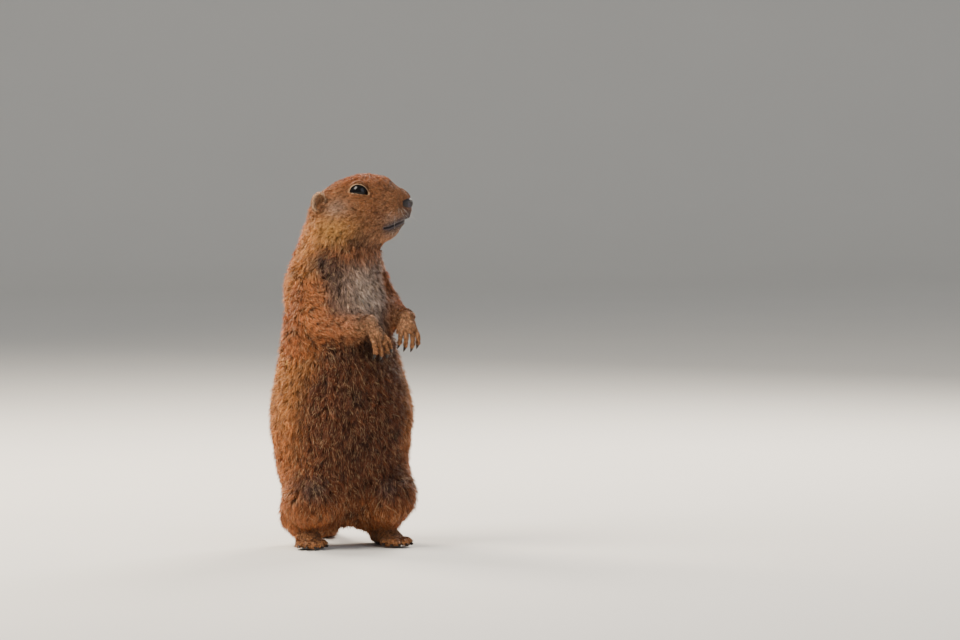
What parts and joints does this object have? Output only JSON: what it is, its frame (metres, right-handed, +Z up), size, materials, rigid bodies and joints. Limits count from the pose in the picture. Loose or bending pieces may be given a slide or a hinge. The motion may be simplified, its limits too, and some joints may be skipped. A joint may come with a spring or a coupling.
{
  "type": "prairie dog model",
  "caption": "Life-size still model of a prairie dog standing upright on its hind feet, with its head turned to its left and its hands hanging in front of the chest.",
  "frame": {"origin": "middle of the whole model's box, at the floor under the hind feet", "axes": "+Z up; the hips face -Y, turned a few degrees to the animal's left; the animal's left is +X, and the head looks almost along +X"},
  "size_m": [0.1144, 0.177, 0.2902],
  "materials": {
    "body_coat": "short dense fur, tan to rust with darker and lighter hairs",
    "face_coat": "very short fur, golden tan with a darker muzzle and pale eyelids",
    "ear_coat": "skin with thin short hair",
    "paw_coat": "pale tan hair over skin, bare dark pads under the hands",
    "tail_coat": "longer coarse hair, black toward the tip",
    "nose_pad": "bare dark pebbled skin, faintly moist",
    "eye": "glossy, near black",
    "claw": "dark horn with a dull gloss"
  },
  "bodies": {
    "root": {"ear_left": "ear_coat", "ear_right": "ear_coat", "eye_left": "eye", "eye_right": "eye", "finger_claw_left_1": "claw", "finger_claw_left_2": "claw", "finger_claw_left_3": "claw", "finger_claw_left_4": "claw", "finger_claw_right_1": "claw", "finger_claw_right_2": "claw", "finger_claw_right_3": "claw", "finger_claw_right_4": "claw", "foot_left": "paw_coat", "foot_right": "paw_coat", "forearm_left": "body_coat", "forearm_right": "body_coat", "hand_left": "paw_coat", "hand_right": "paw_coat", "head": "face_coat", "neck": "body_coat", "nose": "nose_pad", "shank_left": "body_coat", "shank_right": "body_coat", "tail": "tail_coat", "thigh_left": "body_coat", "thigh_right": "body_coat", "toe_claw_left_1": "claw", "toe_claw_left_2": "claw", "toe_claw_left_3": "claw", "toe_claw_left_4": "claw", "toe_claw_left_5": "claw", "toe_claw_right_1": "claw", "toe_claw_right_2": "claw", "toe_claw_right_3": "claw", "toe_claw_right_4": "claw", "toe_claw_right_5": "claw", "torso": "body_coat", "upper_arm_left": "body_coat", "upper_arm_right": "body_coat"}
  },
  "joints": []
}
